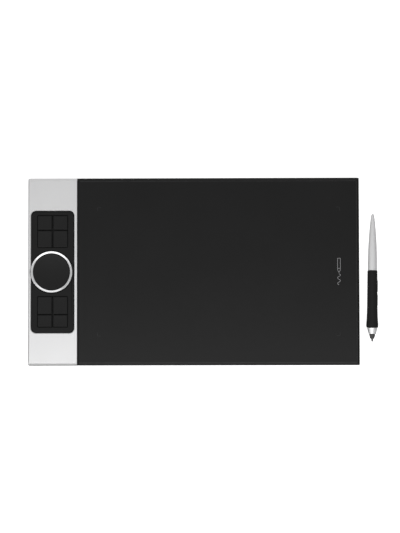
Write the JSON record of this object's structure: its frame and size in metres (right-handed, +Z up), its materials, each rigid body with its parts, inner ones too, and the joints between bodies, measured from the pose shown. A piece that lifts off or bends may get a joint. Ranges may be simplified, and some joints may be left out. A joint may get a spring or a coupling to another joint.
{
  "type": "pen drawing tablet",
  "caption": "Pen drawing tablet with an aluminium control strip, shortcut keys in two groups, a turning dial round a touch disc, a textured work surface, and its pen lying beside it.",
  "frame": {"origin": "on the desk, under the middle of the box that holds the tablet and its pen", "axes": "+X to the right, from the key strip towards the pen; +Y away from the user, along the pen towards its tail; +Z up"},
  "size_m": [0.3781, 0.2026, 0.013],
  "materials": {
    "cover_aluminium": "bead-blasted, anodised silver",
    "deck_aluminium": "fine satin, anodised silver",
    "ring_metal": "turned and polished",
    "work_sheet": "black, fine tooth like paper",
    "frame_plastic": "black, moulded",
    "panel_plastic": "black, fine spark texture",
    "key_plastic": "black, smooth satin",
    "touch_plastic": "black, smooth satin",
    "foot_rubber": "black, matte",
    "grip_rubber": "black, soft matte",
    "pen_silver": "satin silver",
    "pen_bright": "polished",
    "nib_plastic": "dark grey",
    "screw_steel": "zinc plated",
    "shield_steel": "tinned",
    "circuit_board": "green solder mask",
    "polyimide": "amber film",
    "acetal": "natural white",
    "ferrite": "sintered, dark grey",
    "copper": "enamelled winding wire"
  },
  "bodies": {
    "tablet": {"back_cover": "cover_aluminium", "foot_front_left": "foot_rubber", "foot_front_right": "foot_rubber", "foot_rear_left": "foot_rubber", "foot_rear_right": "foot_rubber", "cover_screw_1": "screw_steel", "cover_screw_2": "screw_steel", "cover_screw_3": "screw_steel", "cover_screw_4": "screw_steel", "cover_screw_5": "screw_steel", "cover_screw_6": "screw_steel", "board_screw_1": "screw_steel", "board_screw_2": "screw_steel", "board_screw_3": "screw_steel", "board_screw_4": "screw_steel", "control_deck": "deck_aluminium", "work_surface": "work_sheet", "front_frame": "frame_plastic", "sensor_board": "circuit_board", "shield_plate": "shield_steel", "main_board": "circuit_board", "usb_shell": "shield_steel", "usb_tongue": "frame_plastic", "ribbon_cable": "polyimide", "ribbon_connector": "acetal", "processor_shield": "shield_steel", "key_panel": "panel_plastic", "dome_sheet_rear": "shield_steel", "dome_sheet_front": "shield_steel", "dial_hub": "frame_plastic", "touch_board": "circuit_board", "touch_disc": "touch_plastic", "hub_screw": "screw_steel", "encoder_body": "frame_plastic"},
    "key_1": {"key_1": "key_plastic"},
    "key_2": {"key_2": "key_plastic"},
    "key_3": {"key_3": "key_plastic"},
    "key_4": {"key_4": "key_plastic"},
    "key_5": {"key_5": "key_plastic"},
    "key_6": {"key_6": "key_plastic"},
    "key_7": {"key_7": "key_plastic"},
    "key_8": {"key_8": "key_plastic"},
    "dial": {"dial_rotor": "acetal", "dial_ring": "ring_metal"},
    "encoder": {"encoder_pinion": "acetal"},
    "pen": {"pen_collar": "nib_plastic", "pen_cone": "pen_bright", "pen_grip": "grip_rubber", "pen_chassis": "frame_plastic", "pen_tail": "pen_silver", "pen_ferrite": "ferrite", "pen_coil": "copper", "pen_force_sensor": "shield_steel", "pen_board": "circuit_board", "pen_switch_front": "shield_steel", "pen_switch_rear": "shield_steel"},
    "pen_nib": {"pen_nib": "nib_plastic"},
    "pen_button_front": {"pen_button_front": "key_plastic"},
    "pen_button_rear": {"pen_button_rear": "key_plastic"}
  },
  "joints": [
    {"name": "key_1_press", "type": "slide", "parent": "tablet", "child": "key_1", "axis": [0, 0, -1], "range_m": [0, 0.0004], "stiffness_N_per_m": 800, "springref_m": -0.0002, "deforming": ["dome_sheet_rear"]},
    {"name": "key_2_press", "type": "slide", "parent": "tablet", "child": "key_2", "axis": [0, 0, -1], "range_m": [0, 0.0004], "stiffness_N_per_m": 800, "springref_m": -0.0002, "deforming": ["dome_sheet_rear"]},
    {"name": "key_3_press", "type": "slide", "parent": "tablet", "child": "key_3", "axis": [0, 0, -1], "range_m": [0, 0.0004], "stiffness_N_per_m": 800, "springref_m": -0.0002, "deforming": ["dome_sheet_rear"]},
    {"name": "key_4_press", "type": "slide", "parent": "tablet", "child": "key_4", "axis": [0, 0, -1], "range_m": [0, 0.0004], "stiffness_N_per_m": 800, "springref_m": -0.0002, "deforming": ["dome_sheet_rear"]},
    {"name": "key_5_press", "type": "slide", "parent": "tablet", "child": "key_5", "axis": [0, 0, -1], "range_m": [0, 0.0004], "stiffness_N_per_m": 800, "springref_m": -0.0002, "deforming": ["dome_sheet_front"]},
    {"name": "key_6_press", "type": "slide", "parent": "tablet", "child": "key_6", "axis": [0, 0, -1], "range_m": [0, 0.0004], "stiffness_N_per_m": 800, "springref_m": -0.0002, "deforming": ["dome_sheet_front"]},
    {"name": "key_7_press", "type": "slide", "parent": "tablet", "child": "key_7", "axis": [0, 0, -1], "range_m": [0, 0.0004], "stiffness_N_per_m": 800, "springref_m": -0.0002, "deforming": ["dome_sheet_front"]},
    {"name": "key_8_press", "type": "slide", "parent": "tablet", "child": "key_8", "axis": [0, 0, -1], "range_m": [0, 0.0004], "stiffness_N_per_m": 800, "springref_m": -0.0002, "deforming": ["dome_sheet_front"]},
    {"name": "dial_spin", "type": "hinge", "parent": "tablet", "child": "dial", "pos_m": [-0.16395, 0, 0.0065], "axis": [0, 0, 1], "continuous": true},
    {"name": "encoder_spin", "type": "hinge", "parent": "tablet", "child": "encoder", "pos_m": [-0.14775, 0, 0.0045], "axis": [0, 0, 1], "continuous": true},
    {"name": "pen_lift", "type": "slide", "parent": "tablet", "child": "pen", "axis": [0, 0, 1], "range_m": [0, 0.15]},
    {"name": "nib_press", "type": "slide", "parent": "pen", "child": "pen_nib", "axis": [0.0122, 0.9997, -0.02], "range_m": [0, 0.0004], "stiffness_N_per_m": 1500, "springref_m": -0.0001},
    {"name": "pen_button_front_press", "type": "slide", "parent": "pen", "child": "pen_button_front", "axis": [-0.9999, 0.0122, 0], "range_m": [0, 0.0004], "stiffness_N_per_m": 1000, "springref_m": -0.0002},
    {"name": "pen_button_rear_press", "type": "slide", "parent": "pen", "child": "pen_button_rear", "axis": [-0.9999, 0.0122, 0], "range_m": [0, 0.0004], "stiffness_N_per_m": 1000, "springref_m": -0.0002}
  ],
  "couplings": [
    {"joint": "encoder_spin", "follows": "dial_spin", "ratio": 5.5}
  ]
}
